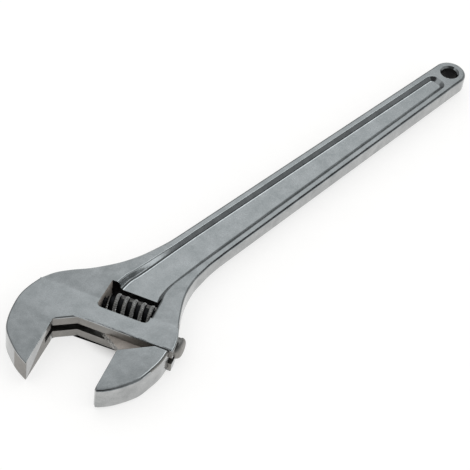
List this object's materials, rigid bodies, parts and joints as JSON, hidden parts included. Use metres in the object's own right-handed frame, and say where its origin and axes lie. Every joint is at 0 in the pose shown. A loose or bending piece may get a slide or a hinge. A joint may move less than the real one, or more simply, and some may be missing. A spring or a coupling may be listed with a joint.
{
  "type": "adjustable wrench",
  "caption": "Forged adjustable wrench: fixed jaw and I-section handle in one piece, sliding jaw on a toothed rack, thumb worm on its pin with a spring, and a round hanging hole.",
  "frame": {"origin": "middle of the bounding box in X and Y, on the flat of the head that the wrench lies on", "axes": "+X along the handle from the jaws to the hanging hole, +Y towards the fixed jaw, +Z through the thickness"},
  "size_m": [0.4556, 0.1088, 0.0214],
  "materials": {
    "forging": "satin chrome plate on forged steel",
    "jaw": "satin chrome plate, machined web and rack",
    "worm": "bright turned steel with knurled thread",
    "pin": "plain turned steel",
    "spring": "drawn spring steel"
  },
  "bodies": {
    "body": {"wrench_body": "forging", "worm_pin": "pin", "worm_spring": "spring"},
    "jaw": {"movable_jaw": "jaw"},
    "worm": {"adjusting_worm": "worm"}
  },
  "joints": [
    {"name": "jaw_slide", "type": "slide", "parent": "body", "child": "jaw", "axis": [0.3827, -0.9239, 0], "range_m": [-0.049, 0.0038]},
    {"name": "worm_spin", "type": "hinge", "parent": "body", "child": "worm", "pos_m": [-0.14074, -0.00137, 0.0107], "axis": [-0.3827, 0.9239, 0], "range_deg": [-2900, 240]}
  ],
  "couplings": [
    {"joint": "worm_spin", "follows": "jaw_slide", "rad_per_m": 1013.4}
  ]
}
